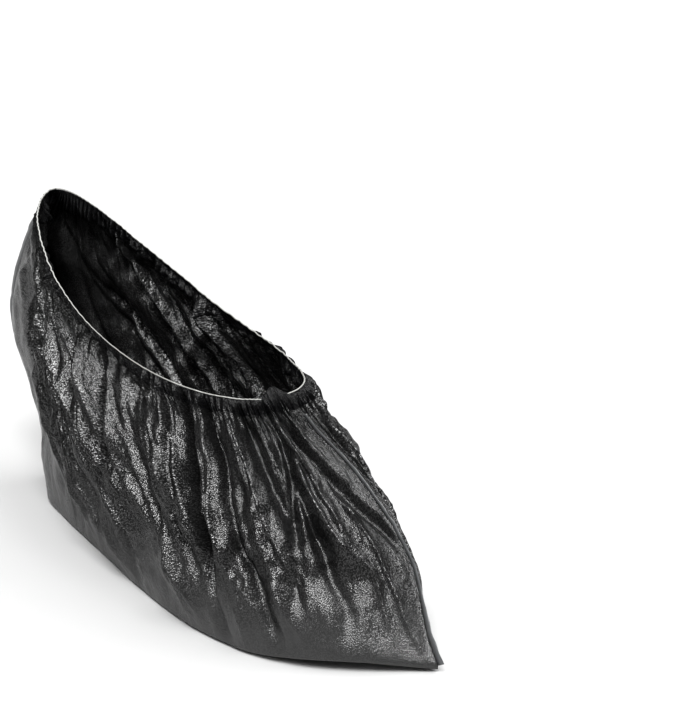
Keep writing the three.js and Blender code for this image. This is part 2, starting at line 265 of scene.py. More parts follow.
def far_side(places):
    """1 on the far side and 0 on the near one, as a column, which gives the far side noise of its own."""
    return np.where(places < 0, 1, 0)[:, None]


print("film between two columns", round(SIDE_LENGTH / HALF, 2), "mm")

# %% [markdown]
# A pleat is a wave in the place: 1 - 2|sin|^sharpness has narrow crests and wide hollows. Three families of
# pleats lie over one another, and each grows in and dies out at its own distances down. Beside the ankle
# the elastic climbs, so there the pleats slant towards the heel and reach further down.

# %% Pleats from the elastic
GATHER_SLANT = 0.06  # how far the pleats at the ankle run back towards the heel on their way down
SLANT_DEPTH = 20.0
FULL_TO = 9.0  # distance down to which a pleat keeps its height
ANKLE_REACH = 1.3  # by what share the pleats at the ankle reach further down
PLEATS = {
    "fine": {"count": 66, "seed": 11, "sharpness": 0.8, "height": 1.9, "rise": (-40, -20), "fade": (3, 10)},
    "middle": {"count": 31, "seed": 21, "sharpness": 0.7, "height": 1.6, "rise": (2, 16), "fade": (8, 22)},
    "wide": {"count": 13, "seed": 31, "sharpness": 0.7, "height": 2.3, "rise": (4, 26), "fade": (25, 70)},
}


def ankle_share(places):
    """1 beside the ankle, where the elastic climbs and the gathers reach further down; 0 over the foot."""
    return 1 - smoothstep(along_seams(places)[0], 120, 270)


def gather_slant(places, down):
    """How far a pleat has run back to the heel, in places: it nears GATHER_SLANT as 1 - exp(-d / depth)."""
    return GATHER_SLANT * ankle_share(places) * (1 - np.exp(-np.clip(down, 0, None) / SLANT_DEPTH))


def pleat_family(places, down, count, seed, sharpness, height, rise, fade):
    """count pleats on either side, each with its own height, which grow in over the distances of rise and die
    out as exp(-(d / length)^2), with a length of their own between the two of fade."""
    side = far_side(places)
    along = (np.abs(places)[:, None] + gather_slant(places, down)) * count
    drift = 0.35 * value_noise(along * 0.7 + 40 * side, down / 35, seed)
    phase = along + drift + 0.15 * side
    own = value_noise(np.round(phase) * 1.7 + 70 * side, 0 * down + 3.5, seed + 1)
    length = fade[0] + (fade[1] - fade[0]) * (own + 1) / 2
    wave = 1 - 2 * np.abs(np.sin(np.pi * phase)) ** sharpness
    below = np.clip(down - FULL_TO, 0, None) / (1 + ANKLE_REACH * ankle_share(places))
    return height * (0.7 + 0.5 * own) * wave * smoothstep(down, *rise) * np.exp(-((below / length) ** 2))


def pleats(places, down):
    """The three families together, and none at the seals."""
    total = sum(pleat_family(places, down, **family) for family in PLEATS.values())
    return total * smoothstep(along_seams(places)[2], 0, 5)


for name, family in PLEATS.items():
    print(name, "pleats take", round(SIDE_LENGTH / family["count"], 1), "mm of film each")

# %% [markdown]
# The main folds are those that the eye finds first: long ridges and valleys that run from the gathers to
# the sole. Each is a line in a table, from its place in the upper wall to its place near the sole. A ridge
# has a crisp crest with a steep side and a gentle one, and a valley is round. Lesser folds between them are
# scattered at random, with the same slopes: forwards on their way down from the heel, and fanned out over
# the toe.

# %% Main folds
# Side, place and height share at the top, the same at the foot, bow (how far the middle stands towards the
# toe), half width, height in millimetres, and the steep side: -1 towards the heel, 1 towards the toe, 0 for a
# round one
FOLDS = [
    (1, 0.120, 0.74, 0.389, 0.00, 0.030, 0.016, 3.6, -1),
    (1, 0.080, 0.60, 0.410, 0.02, 0.030, 0.014, 3.0, -1),
    (1, 0.220, 0.86, 0.416, 0.26, 0.010, 0.014, 3.4, -1),
    (1, 0.300, 0.95, 0.385, 0.48, 0.000, 0.012, -3.6, 0),
    (1, 0.370, 0.92, 0.383, 0.36, 0.000, 0.012, -3.2, 0),
    (1, 0.440, 0.93, 0.399, 0.42, -0.008, 0.020, 4.6, -1),
    (1, 0.505, 0.97, 0.405, 0.06, -0.004, 0.012, -6.5, 0),
    (1, 0.520, 0.90, 0.441, 0.00, -0.004, 0.016, 3.0, -1),
    (1, 0.568, 0.92, 0.560, 0.00, 0.012, 0.014, 3.4, -1),
    (1, 0.615, 0.96, 0.597, 0.21, 0.000, 0.009, -3.6, 0),
    (1, 0.650, 0.99, 0.639, 0.00, 0.000, 0.012, -7.0, 0),
    (1, 0.668, 0.92, 0.673, 0.11, 0.000, 0.012, 2.6, -1),
    (1, 0.700, 0.99, 0.735, 0.02, 0.000, 0.011, -5.5, 0),
    (1, 0.745, 0.97, 0.770, 0.26, 0.000, 0.012, 3.0, -1),
    (1, 0.775, 0.92, 0.803, 0.42, 0.000, 0.020, -5.5, 0),
    (1, 0.868, 0.99, 0.841, 0.68, 0.000, 0.008, 3.6, -1),
    (1, 0.850, 0.86, 0.759, 0.16, 0.012, 0.013, -5.0, 0),
    (1, 0.842, 0.68, 0.837, 0.16, 0.004, 0.012, -5.5, 0),
    (1, 0.860, 0.80, 0.907, 0.10, 0.010, 0.016, 3.2, -1),
    (1, 0.900, 0.86, 0.980, 0.34, 0.000, 0.018, -5.0, 0),
    (1, 0.905, 0.60, 0.953, 0.02, 0.010, 0.016, 3.0, -1),
    (-1, 0.120, 0.74, 0.374, 0.00, 0.020, 0.016, 3.4, -1),
    (-1, 0.260, 0.92, 0.407, 0.16, 0.000, 0.014, -4.5, 0),
    (-1, 0.360, 0.95, 0.442, 0.01, 0.006, 0.016, 3.6, -1),
    (-1, 0.480, 0.97, 0.468, 0.06, 0.000, 0.012, -6.0, 0),
    (-1, 0.570, 0.90, 0.581, 0.00, -0.006, 0.016, 3.4, 1),
    (-1, 0.650, 0.98, 0.661, 0.00, 0.000, 0.012, -6.0, 0),
    (-1, 0.740, 0.95, 0.740, 0.21, 0.004, 0.012, -4.5, 0),
    (-1, 0.830, 0.90, 0.769, 0.11, 0.010, 0.014, -4.0, 0),
    (-1, 0.800, 0.80, 0.800, 0.11, 0.000, 0.100, -4.5, 0),
    (-1, 0.880, 0.90, 0.903, 0.15, 0.006, 0.016, 3.0, 1),
]
FOLD_STRENGTH = 1.25  # what all the fold heights are multiplied by
FOLD_BEND = 0.006  # how far a fold wanders from its line, in places
SWEEP = 0.035  # how far a fold runs on towards the toe at its foot
SCATTERED = {"seed": 17, "count": 22}  # lesser folds to a side
STEEP, GENTLE = 2.4, 0.8  # how fast a crisp fold falls off on its two sides


def scattered_folds(seed, count):
    """Lesser folds, evenly spread and jittered: those at the heel run forwards on their way down, and those at
    the toe fan out both ways."""
    generator = np.random.default_rng(seed)
    rows = []
    for side in (1, -1):
        for k in range(count):
            top_at = 0.04 + 0.92 * (k + generator.uniform(0.1, 0.9)) / count
            fan = 0.05 * smoothstep(top_at, 0.75, 0.9)
            tilt = 0.2 * (1 - top_at) ** 1.4 - 0.02 + generator.uniform(-0.03 - fan, 0.03 + fan)
            top_up, foot_up = generator.uniform(0.55, 1.0), generator.uniform(0.0, 0.4)
            foot_at = min(top_at + tilt, 0.98)
            bow = generator.uniform(-0.012, 0.012)
            width, height = generator.uniform(0.012, 0.024), generator.uniform(2.0, 4.2)
            steep = generator.choice((-1, 1))
            rows.append((side, top_at, top_up, foot_at, foot_up, bow, width, height, steep))
    return rows


def fold_profile(across, steep):
    """Round: exp(-t^2). Crisp: exp(-|t|) with one factor on its steep side and a lesser one on the other."""
    if steep == 0:
        return np.exp(-(across**2))
    return np.exp(-np.abs(across) * np.where(across * steep > 0, STEEP, GENTLE))


def main_folds(places, up):
    """The sum of all folds: each rises and falls off at its ends, bends a little along its way, and widens
    and sweeps towards the toe at its foot."""
    total = np.zeros_like(up)
    for row in FOLDS + scattered_folds(**SCATTERED):
        side, top_at, top_up, foot_at, foot_up, bow, width, height, steep = row
        way = (up - foot_up) / (top_up - foot_up)
        ends = smoothstep(way, -0.3, 0.4) * (1 - smoothstep(way, 0.85, 1.15))
        way = np.clip(way, 0, 1)
        centre = foot_at + (top_at - foot_at) * way + 4 * bow * way * (1 - way) + SWEEP * (1 - way) ** 3
        bend = FOLD_BEND * value_noise(up * 7, 0 * up + 50 * top_at, SEEDS["fold bend"])
        across = (np.abs(places)[:, None] - centre - bend) / (width * (1.15 - 0.5 * way))
        here = (places < 0)[:, None] == (side < 0)
        total += np.where(here, FOLD_STRENGTH * height, 0) * ends * fold_profile(across, steep)
    return total


print(len(FOLDS), "folds placed and", 2 * SCATTERED["count"], "scattered")

# %% [markdown]
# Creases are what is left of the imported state: flat facets between straight, broken lines. Waves with
# straight flanks give such facets, laid over one another in several directions and bent and broken by
# noise, at four sizes from 40 mm down to 5 mm. The film is drawn downwards, so the creases are longer down
# it than along it.

# %% Creases left from packing
# Size along the film, height, seed, number of directions, and how much longer they are down the film, as a
# factor on the distance down
CREASES = (
    (40, 6.5, 404, 4, 0.6),
    (22, 5.0, 101, 5, 0.7),
    (10, 1.9, 202, 5, 0.7),
    (5, 0.8, 303, 5, 0.8),
)


def creases(s, d, size, height, seed, directions):
    """The mean of triangle waves in several directions, each bent by noise and broken up into patches."""
    generator = np.random.default_rng(seed)
    total = np.zeros_like(s)
    for k in range(directions):
        angle = np.pi * (k + generator.uniform(0.1, 0.9)) / directions
        wave = size * generator.uniform(0.7, 1.5)
        bend = 0.45 * value_noise(s / (2.2 * size) + 31 * k, d / (2.2 * size), seed + k)
        phase = (s * np.cos(angle) + d * np.sin(angle)) / wave + bend + generator.uniform(0, 1)
        triangle = np.abs(phase - np.floor(phase) - 0.5) * 4 - 1
        spots = value_noise(s / (3 * size) + 17 * k, d / (3 * size) + 9, seed + 50 + k)
        patchy = smoothstep(spots, -0.4, 0.6)
        total += triangle * patchy
    return height * total / directions


print("creases of", [size for size, *_ in CREASES], "mm")

# %% [markdown]
# The heights are then calmed wherever the real film lies smooth: at the seals, beside the heel and the tip,
# along the edge of the sole and under the tight elastic. Where the film leaves the edge of the sole it has
# a soft ridge.

# %% All heights together
SOLE_RIDGE = {"at": 27, "width": 9, "height": 0.6}  # where the film leaves the sole's edge, up the wall
SOLE_HOLLOW = {"above": 17, "width": 11, "share": 0.8}  # the dip above that ridge
TAUT = 0.16  # what the elastic leaves of all heights at the mouth
OTHER_SIDE = 1000  # millimetres of film that the far side's creases lie away from the near side's


def under_forms(places, heights):
    """A ridge exp(-t^2) all round where the film leaves the sole's edge, and a lesser hollow above it."""
    toe = along_seams(places)[1]
    above = heights - SOLE_RIDGE["at"]
    ridge = np.exp(-((above / SOLE_RIDGE["width"]) ** 2))
    hollow = SOLE_HOLLOW["share"] * np.exp(-(((above - SOLE_HOLLOW["above"]) / SOLE_HOLLOW["width"]) ** 2))
    return SOLE_RIDGE["height"] * (ridge - hollow) * smoothstep(toe, 30, 90)


def film_heights(places, down, lengths):
    """Creases, ridge, folds and pleats, each times the share that is left of it at its place, in mm."""
    heel, toe, seam = along_seams(places)
    up = 1 - down / lengths[:, None]
    s = heel + 0 * down + OTHER_SIDE * far_side(places)
    clear = smoothstep(seam, 0, 9) * at_least(0.4, smoothstep(toe, 5, 60))
    at_sole = at_least(0.35, smoothstep(up, 0.0, 0.35))
    at_heel = at_least(0.5, np.maximum(smoothstep(heel, 30, 110), smoothstep(up, 0.4, 0.8)))
    at_tip = at_least(0.5, np.maximum(smoothstep(toe, 10, 90), smoothstep(up, 0.3, 0.7)))
    creased = sum(creases(s, down * longer, *row) for *row, longer in CREASES)
    total = creased * at_sole * at_heel * at_tip * clear
    total += under_forms(places, up * lengths[:, None]) * clear
    total += main_folds(places, up) * smoothstep(seam, 0, 8) + pleats(places, down)
    return total * at_least(TAUT, smoothstep(down, 0, 8)) * smoothstep(up, -0.03, 0.12)


print("the elastic leaves", TAUT, "of the heights at the mouth")

# %% [markdown]
# ## The film's surface
#
# The film is one layer of faces: at 0.04 mm its wall is far too thin to see, and a layer of its own for the
# inside would cost half of the detail. Its grid has more columns than rows, because nearly all folds run
# downwards.


# %% Facing, and what the two sides share
def facing(points):
    """Unit vectors across the grid: the way round the cover crossed with the way up it."""
    round_it = np.roll(points, -1, axis=0) - np.roll(points, 1, axis=0)
    down_it = np.gradient(points, axis=1)
    across = np.cross(round_it, -down_it)
    return across / np.linalg.norm(across, axis=-1, keepdims=True)


def keep_sides(points, places, slit=0.12):
    """Near points stay on the near side of the middle plane and far ones on the far side; seals lie in it."""
    y = points[..., 1]
    sealed = (places == 0) | (np.abs(places) == 1)
    held = np.where((places < 0)[:, None], np.maximum(y, slit), np.minimum(y, -slit))
    points[..., 1] = np.where(sealed[:, None], 0, held)
    return points


def fin_wave(places, down):
    """Sideways waves that the two films of a sealed end share: a long and a short noise down the seal,
    strongest at the seal and gone 30 mm away from it."""
    heel, toe, _ = along_seams(places)
    heel_wave = 1.6 * value_noise(down / 42, 0 * heel + 2.5, SEEDS["heel wave"])
    heel_wave += 0.5 * value_noise(down / 13, 0 * heel + 7.5, SEEDS["heel ripple"])
    toe_wave = 1.2 * value_noise(down / 38 + 90, 0 * toe + 4.5, SEEDS["toe wave"])
    toe_wave += 0.5 * value_noise(down / 11, 0 * toe + 9.5, SEEDS["toe ripple"])
    at_heel, at_toe = 1 - smoothstep(heel, 0, 30), 1 - smoothstep(toe, 0, 30)
    return smoothstep(down, 8, 30) * (heel_wave * at_heel + toe_wave * at_toe)


print("facing at the ball of the foot", facing(CURVES)[HALF * 3 // 5, SECTION_STEPS // 2].round(2).tolist())


# %% Mesh helpers
def to_metres(points):
    """From millimetres at the heel to the frame's metres."""
    return (points - (HEEL_TO_ORIGIN, -MIDDLE_TO_ORIGIN, 0)) / 1000


def mesh_object(name, points, faces, uv=None):
    """A mesh with smooth faces, in metres; uv is given per face corner."""
    mesh = bpy.data.meshes.new(name)
    mesh.from_pydata(points.reshape(-1, 3).tolist(), [], faces.tolist())
    mesh.validate(verbose=False)
    mesh.polygons.foreach_set("use_smooth", np.ones(len(mesh.polygons), bool))
    if uv is not None:
        mesh.uv_layers.new(name="film_metres").data.foreach_set("uv", uv.astype(np.float32).ravel())
    mesh.update()
    piece = bpy.data.objects.new(name, mesh)
    bpy.context.scene.collection.objects.link(piece)
    print(name, len(mesh.vertices), "points", len(mesh.polygons), "faces")
    return piece


def ring_faces(rings, columns, closed_rows=False):
    """Quads between rings of points, numbered ring by ring, facing outwards where the rings run down."""
    starts = rings if closed_rows else rings - 1
    ring, column = np.meshgrid(np.arange(starts), np.arange(columns), indexing="ij")
    after, row = (column + 1) % columns, ring * columns
    row_below = (ring + 1) % rings * columns
    return np.stack([row + column, row_below + column, row_below + after, row + after], -1).reshape(-1, 4)


def film_uv(places, downs):
    """The film's own coordinates at the corners of ring_faces, in metres: along the film and down it."""
    columns = len(places)
    side = np.where(np.arange(columns) < columns // 2, 1, -1)
    heel = np.abs(places) * SIDE_LENGTH
    top, low = downs[:-1], downs[1:]
    here, there = side * heel + 0 * top, side * np.roll(heel, -1) + 0 * top
    top_after, low_after = np.roll(top, -1, axis=1), np.roll(low, -1, axis=1)
    u = np.stack([here, here, there, there], -1)
    v = np.stack([top, low, low_after, top_after], -1)
    return np.stack([u, v], -1) / 1000


print("two rings of four columns make", len(ring_faces(2, 4)), "faces")

# %% [markdown]
# The walls are walked down from just under the hem to the sole's edge, and moved along their facing by the
# heights. The two sides share their waves at the seals and the toe's lean, so that nothing opens between
# them.

# %% The film's walls
FILM_TOP = 6.5  # the wall starts this far down, under the hem
WALL_ROWS = 98
ROW_CROWDING = 1.1  # a power that sets the rows closer at the top, where the pleats are finest
UNDER_HEM = 0.5  # how deep the film's top edge lies under the hem
CLEAR_OF_SOLE = 0.2  # millimetres that a wall keeps above the sole

row_shares = (np.arange(WALL_ROWS) / (WALL_ROWS - 1)) ** ROW_CROWDING
downs = FILM_TOP + row_shares[None, :] * (LENGTHS[:, None] - FILM_TOP)
ups = 1 - downs / LENGTHS[:, None]
base = walked(CURVES, downs)
wall_facing = facing(base)
tucked_in = UNDER_HEM * (1 - smoothstep(downs, FILM_TOP, FILM_TOP + 5))
heights = film_heights(PLACES, downs, LENGTHS) - tucked_in
skin = keep_sides(base + wall_facing * heights[..., None], PLACES)
skin[..., 1] += fin_wave(PLACES, downs) + toe_lean(PLACES, ups)
skin[..., 2] = np.maximum(skin[..., 2], sole_lift(skin[..., 0]) + CLEAR_OF_SOLE)
print("walls", skin.shape, "heights", heights.min().round(1), "to", heights.max().round(1), "mm")

# %% [markdown]
# The sole is the same film, so it goes on from the wall's last row: each column runs to the middle between
# it and its twin on the other side, and there the two sides are sewn into one line. It drops round the
# sole's edge to the floor and has a low ripple.

# %% The film under the sole
SOLE_ROWS = 10
SOLE_CROWDING = 1.6  # a power that sets the rows closer at the sole's edge
EDGE_DROP = 0.03  # share of the way to the middle in which the film drops round the edge
SOLE_RIPPLE = 0.25

twin = (2 * HALF - np.arange(2 * HALF)) % (2 * HALF)
edge = skin[:, -1]
middle = (edge + edge[twin]) / 2
inwards = (np.arange(1, SOLE_ROWS + 1) / SOLE_ROWS) ** SOLE_CROWDING
sole = edge[:, None] * (1 - inwards[None, :, None]) + middle[:, None] * inwards[None, :, None]
drop = np.exp(-inwards / EDGE_DROP)[None, :]
noise = value_noise(sole[..., 0] / 9, sole[..., 1] / 9, SEEDS["sole ripple"])
ripple = SOLE_RIPPLE * (1 + noise) * smoothstep(inwards, 0.05, 0.2)
sole[..., 2] = sole_lift(sole[..., 0]) + (edge[:, None, 2] - sole_lift(edge[:, None, 0])) * drop + ripple


def film_faces(rings, columns):
    """Ring faces, where the last ring's two sides are sewn into one line under the sole."""
    faces = ring_faces(rings, columns)
    last = (rings - 1) * columns
    folded = faces >= last
    column = faces[folded] - last
    faces[folded] = last + np.minimum(column, (columns - column) % columns)
    return faces


film_rings = np.concatenate([skin, sole], 1).transpose(1, 0, 2)
sole_downs = downs[:, -1:] + np.linalg.norm(sole - edge[:, None], axis=-1)
film_downs = np.concatenate([downs, sole_downs], 1).T
faces = film_faces(len(film_rings), len(PLACES))
film = mesh_object("embossed_film", to_metres(film_rings), faces, film_uv(PLACES, film_downs))

# %% [markdown]
# ## The gathered hem
#
# The film's upper edge is turned outwards over the elastic and sealed, so the hem is a tube of two layers
# that the elastic puckers. It is made as a closed band with an outer and an inner face, on the same pleats
# as the film, so that each pleat of the hem runs on into one below it. It has twice as many columns as the
# film, because its pleats are the finest.

# %% Hem
HEM_HALF = 900
HEM_PLACES = all_places(HEM_HALF)
HEM_HEIGHT, HEM_ROWS = 13.0, 22
HEM_WALL = 0.9
HEM_PUFF, HEM_TURN_IN = 0.3, 0.7  # how far it stands out halfway, and how far its lower edge turns in
TUCK = {"place": 0.925, "half_width": 0.05, "height": 6.5, "stand": 1.8}  # a gather flipped over the elastic


def tuck_share(places):
    """1 at the tuck's place, falling off on its two sides as exp(-t^2)."""
    return np.exp(-(((places - TUCK["place"]) / TUCK["half_width"]) ** 2))[:, None]


def band(places, rows, out, wall):
    """The outer and the inner face of a band, from the top down, which stands up at its tuck."""
    curves = sections(places)
    lengths = wall_lengths(curves)
    down = rows - TUCK["height"] * tuck_share(places) * (1 - smoothstep(rows, 0, 10))
    out = out + TUCK["stand"] * tuck_share(places) * (1 - smoothstep(rows, 0, 9))
    base = walked(curves, down)
    face = facing(base)
    height = film_heights(places, down, lengths)
    outer = base + face * (height + out)[..., None]
    inner = base + face * (height + out - wall)[..., None]
    return keep_sides(outer, places), keep_sides(inner, places)


rows = HEM_HEIGHT * np.linspace(0, 1, HEM_ROWS)
puff = 0.05 + HEM_PUFF * np.sin(np.pi * np.clip(rows / 9, 0, 1)) - HEM_TURN_IN * smoothstep(rows, 6, 12)
outer, inner = band(HEM_PLACES, rows, puff, HEM_WALL * (0.5 + np.sin(np.pi * rows / HEM_HEIGHT) / 2))
hem_lengths = np.interp(np.abs(HEM_PLACES), PLACES[: HALF + 1], LENGTHS[: HALF + 1])
hem_lean = toe_lean(HEM_PLACES, 1 - rows / hem_lengths[:, None])
outer[..., 1] += hem_lean
inner[..., 1] += hem_lean
hem_rings = np.concatenate([outer, inner[:, ::-1]], 1).transpose(1, 0, 2)

# %% [markdown]
# The hem's pattern goes on round its lower edge to the inner face, where it starts anew further down the
# film.

# %% The hem's mesh
INNER_FACE_DOWN = 30  # millimetres down the film at which the inner face takes its pattern
hem_downs = np.concatenate([rows, rows[::-1] + INNER_FACE_DOWN, rows[:1]])
hem_downs = np.broadcast_to(hem_downs[:, None], (len(hem_downs), len(HEM_PLACES)))
faces = ring_faces(len(hem_rings), len(HEM_PLACES), True)
hem = mesh_object("gathered_film_hem", to_metres(hem_rings), faces, film_uv(HEM_PLACES, hem_downs))

# %% [markdown]
# ## The elastic
#
# A thin pale elastic shows as a light line round the mouth. It is a round thread under tension, so it
# follows the oval smoothly and only nods a little at each pleat. A circle is carried round the mouth's
# edge.

# %% Elastic
ELASTIC_RADIUS = 0.36
ELASTIC_SIDES = 12
AT_MOUTH, ABOVE_MOUTH = -0.5, -1.5  # distances down the wall; the second one only gives the direction up it


def mouth_row(down):
    """One point of every section, at a distance down from the mouth."""
    return walked(CURVES, np.full((len(PLACES), 1), down))[:, 0]


mouth_line = mouth_row(AT_MOUTH)
mouth_up = mouth_row(ABOVE_MOUTH) - mouth_line
mouth_up /= np.linalg.norm(mouth_up, axis=-1, keepdims=True)
mouth_facing = facing(walked(CURVES, np.broadcast_to(np.array([0.0, 1.0]), (len(PLACES), 2))))[:, 0]
nod = film_heights(PLACES, np.zeros((len(PLACES), 1)), LENGTHS)[:, 0]
mouth_line = mouth_line + mouth_facing * (nod + 0.1)[:, None]
turn = np.linspace(0, 2 * np.pi, ELASTIC_SIDES, endpoint=False)[:, None, None]
elastic_rings = mouth_line + ELASTIC_RADIUS * (np.cos(turn) * mouth_facing + np.sin(turn) * mouth_up)
faces = ring_faces(ELASTIC_SIDES, len(PLACES), True)[:, ::-1]
elastic = mesh_object("elastic_thread", to_metres(elastic_rings), faces)
print("the elastic is", np.linalg.norm(np.diff(mouth_line, axis=0), axis=-1).sum().round(), "mm long")

# %% [markdown]
# ## The sealed edges
#
# A hot bar melts the two films together in a line and cuts them, which leaves a narrow, slightly lighter
# and stiffer edge outside the bag. Each is a thin strip that stands out along the film's facing at the seal
# and shares the film's sideways waves. The toe's widens towards its tip.

# %% A sealed edge
SEAL = {"width": 2.6, "wall": 0.28, "steps": 150, "root": 0.3, "flutter": 0.35, "ragged": 0.2}
SEAL_FLARE = {"width": 3.0, "length": 45}  # the widening at the toe's tip
SEAL_PROFILE = (1, 1.1, 0.7)  # how thick it is at its root, middle and rim, as shares of its wall
CLEAR_OF_FLOOR = 0.1


def seal(name, column, place):
    """A strip from the film's column at the seal outwards, with six points to each cross-section: root, middle
    and rim on the one side, and back on the other. place is 0 at the heel and 1 at the toe."""
    steps, length = SEAL["steps"], LENGTHS[column]
    top = HEM_HEIGHT + 0.5
    down = np.linspace(0, 1, steps) * (length - top - 0.2) + top
    root = np.stack([np.interp(down, downs[column], skin[column, :, k]) for k in range(3)], -1)
    out = np.stack([np.interp(down, downs[column], wall_facing[column, :, k]) for k in range(3)], -1)
    out /= np.linalg.norm(out, axis=-1, keepdims=True)
    flare = SEAL_FLARE["width"] * place * smoothstep(down, length - SEAL_FLARE["length"], length)
    ragged = SEAL["ragged"] * value_noise(down / 4, 0 * down, SEEDS["seal rim"])
    rim = root + out * (SEAL["width"] + flare + ragged)[:, None]
    rim[:, 1] += SEAL["flutter"] * value_noise(down / 6, 0 * down + place, SEEDS["seal flutter"])
    root = root - out * SEAL["root"]
    side = np.array([0, SEAL["wall"] / 2, 0])
    lines = (root, (root + rim) / 2, rim)
    ring = [line - side * thick for line, thick in zip(lines, SEAL_PROFILE)]
    ring += [line + side * thick for line, thick in zip(lines[::-1], SEAL_PROFILE[::-1])]
    points = np.stack(ring[::-1] if place > 0 else ring)
    points[..., 2] = np.maximum(points[..., 2], CLEAR_OF_FLOOR)
    return mesh_object(name, to_metres(points), strip_faces(len(ring), steps))


def strip_faces(corners, steps):
    """Quads between the long lines of a strip of six lines, and two at each end that close it."""
    line, step = np.meshgrid(np.arange(corners), np.arange(steps - 1), indexing="ij")
    beside = (line + 1) % corners
    quads = [line * steps + step, line * steps + step + 1, beside * steps + step + 1, beside * steps + step]
    first = np.arange(corners) * steps
    caps = first[[[0, 1, 4, 5], [1, 2, 3, 4]]]
    return np.concatenate([np.stack(quads, -1).reshape(-1, 4), caps, caps[:, ::-1] + steps - 1])


heel_seal = seal("heel_seal", 0, 0)
toe_seal = seal("toe_seal", HALF, 1)

# %% [markdown]
# ## Materials
#
# Polyethylene film has an index of refraction of about 1.5. The black pigment swallows what light goes in,
# so all that shows is gloss. The film is cast between embossed rollers: the tops of its dots are shiny and
# the grooves between them dull, which breaks every highlight into grain. It is thin enough that light shines
# through it where nothing dark lies behind it, and there its colour is painted lighter.


# %% Material helpers
def linear(hex_colour):
    """An sRGB hex colour as linear red, green, blue and alpha."""
    values = np.array([int(hex_colour[k : k + 2], 16) for k in (1, 3, 5)]) / 255
    low = values / 12.92
    high = ((values + 0.055) / 1.055) ** 2.4
    return (*np.where(values <= 0.04045, low, high).tolist(), 1.0)


def add(material, kind, links=None, **settings):
    """Adds a node, sets its properties or inputs by name, and links sockets: {input: (node, output)}."""
    node = material.node_tree.nodes.new(kind)
    for key, value in settings.items():
        if hasattr(node, key):
            setattr(node, key, value)
        else:
            node.inputs[key.replace("_", " ")].default_value = value
    for key, (source, output) in (links or {}).items():
        material.node_tree.links.new(source.outputs[output], node.inputs[key])
    return node


def new_material(name):
    """A node material with nothing in it but its output."""
    material = bpy.data.materials.new(name)
    material.use_nodes = True
    material.node_tree.nodes.clear()
    output = material.node_tree.nodes.new("ShaderNodeOutputMaterial")
    return material, output


PLASTIC_IOR = 1.5
print("black of the film", [round(value, 4) for value in linear("#131313")])

# %% [markdown]
# The emboss is a pattern of small cells in the film's own coordinates. Its dots set how strongly the film
# reflects, and as a bump they turn the highlights a little. A coarser pattern of dents, stretched down the
# film, stands for the crumple that is too fine for the mesh. Two attributes are painted on below: bare,
# where the film is smoother and painted lighter for the light that shines through it, and packed, painted
# shade where the pleats stand too close for light to get between them.

# %% Embossed black film
# All in metres. The real dots are nearer 0.6 mm apart, which is too fine to show in a picture of the cover.
EMBOSS = {"spacing": 0.00075, "depth": 0.00024}
DENTS = {"size": 0.006, "depth": 0.0014, "stretch": 0.6, "bare_share": 0.4}
WARP = {"size": 0.012, "shift": 0.006}  # bends the dents' pattern so that no lattice shows
CLOUD_SIZE = 0.03  # patches in which the film is a little glossier or duller
# Painted shade: what is left of the film's reflection, and of its colour, between the packed pleats
PLEAT_SHADE_LEFT = 0.33  # what is left of the reflection between packed pleats


def emboss_normal(material, uv, dots, bare, emboss, crumple):
    """The bump of the dents, weaker where the film is bare, and on it that of the embossed dots."""
    warp = add(material, "ShaderNodeTexNoise", {"Vector": (uv, "UV")}, Scale=1 / WARP["size"], Detail=2.0)
    shift = add(
        material, "ShaderNodeVectorMath", {0: (warp, "Color")}, operation="SCALE", Scale=WARP["shift"]
    )
    bent = add(material, "ShaderNodeVectorMath", {0: (uv, "UV"), 1: (shift, "Vector")}, operation="ADD")
    longer = add(material, "ShaderNodeMapping", {"Vector": (bent, "Vector")}, Scale=(1, DENTS["stretch"], 1))
    dents = add(material, "ShaderNodeTexVoronoi", {"Vector": (longer, "Vector")}, Scale=1 / DENTS["size"])
    strength = add(
        material,
        "ShaderNodeMapRange",
        {"Value": (bare, "Fac")},
        To_Min=crumple,
        To_Max=DENTS["bare_share"] * crumple,
    )
    dented = add(
        material,
        "ShaderNodeBump",
        {"Height": (dents, "Distance"), "Strength": (strength, "Result")},
        Distance=DENTS["depth"],
    )
    return add(
        material,
        "ShaderNodeBump",
        {"Height": (dots, "Distance"), "Normal": (dented, "Normal")},
        Strength=emboss,
        Distance=EMBOSS["depth"],
    )


def emboss_reflection(material, dots, bare):
    """How strongly the film reflects: fully on the dots and little in the grooves, with less between the two
    where it is bare, and all of it less as painted shade where the pleats are packed."""
    top = add(material, "ShaderNodeMapRange", {"Value": (dots, "Distance")}, From_Min=0.65, From_Max=0.15)
    # Painted shade: the reflection is dimmed where the pleats are packed below the elastic
    packed = add(material, "ShaderNodeAttribute", attribute_name="packed")
    pleat_shade_fac = {"Value": (packed, "Fac")}
    open_share = add(material, "ShaderNodeMapRange", pleat_shade_fac, To_Min=1.0, To_Max=PLEAT_SHADE_LEFT)
    grooves = add(material, "ShaderNodeMapRange", {"Value": (bare, "Fac")}, To_Min=0.1, To_Max=0.4)
    tops = add(material, "ShaderNodeMapRange", {"Value": (bare, "Fac")}, To_Min=1.0, To_Max=0.62)
    shine = add(
        material,
        "ShaderNodeMapRange",
        {"Value": (top, "Result"), "To Min": (grooves, "Result"), "To Max": (tops, "Result")},
    )
    return add(
        material, "ShaderNodeMath", {0: (shine, "Result"), 1: (open_share, "Result")}, operation="MULTIPLY"
    )


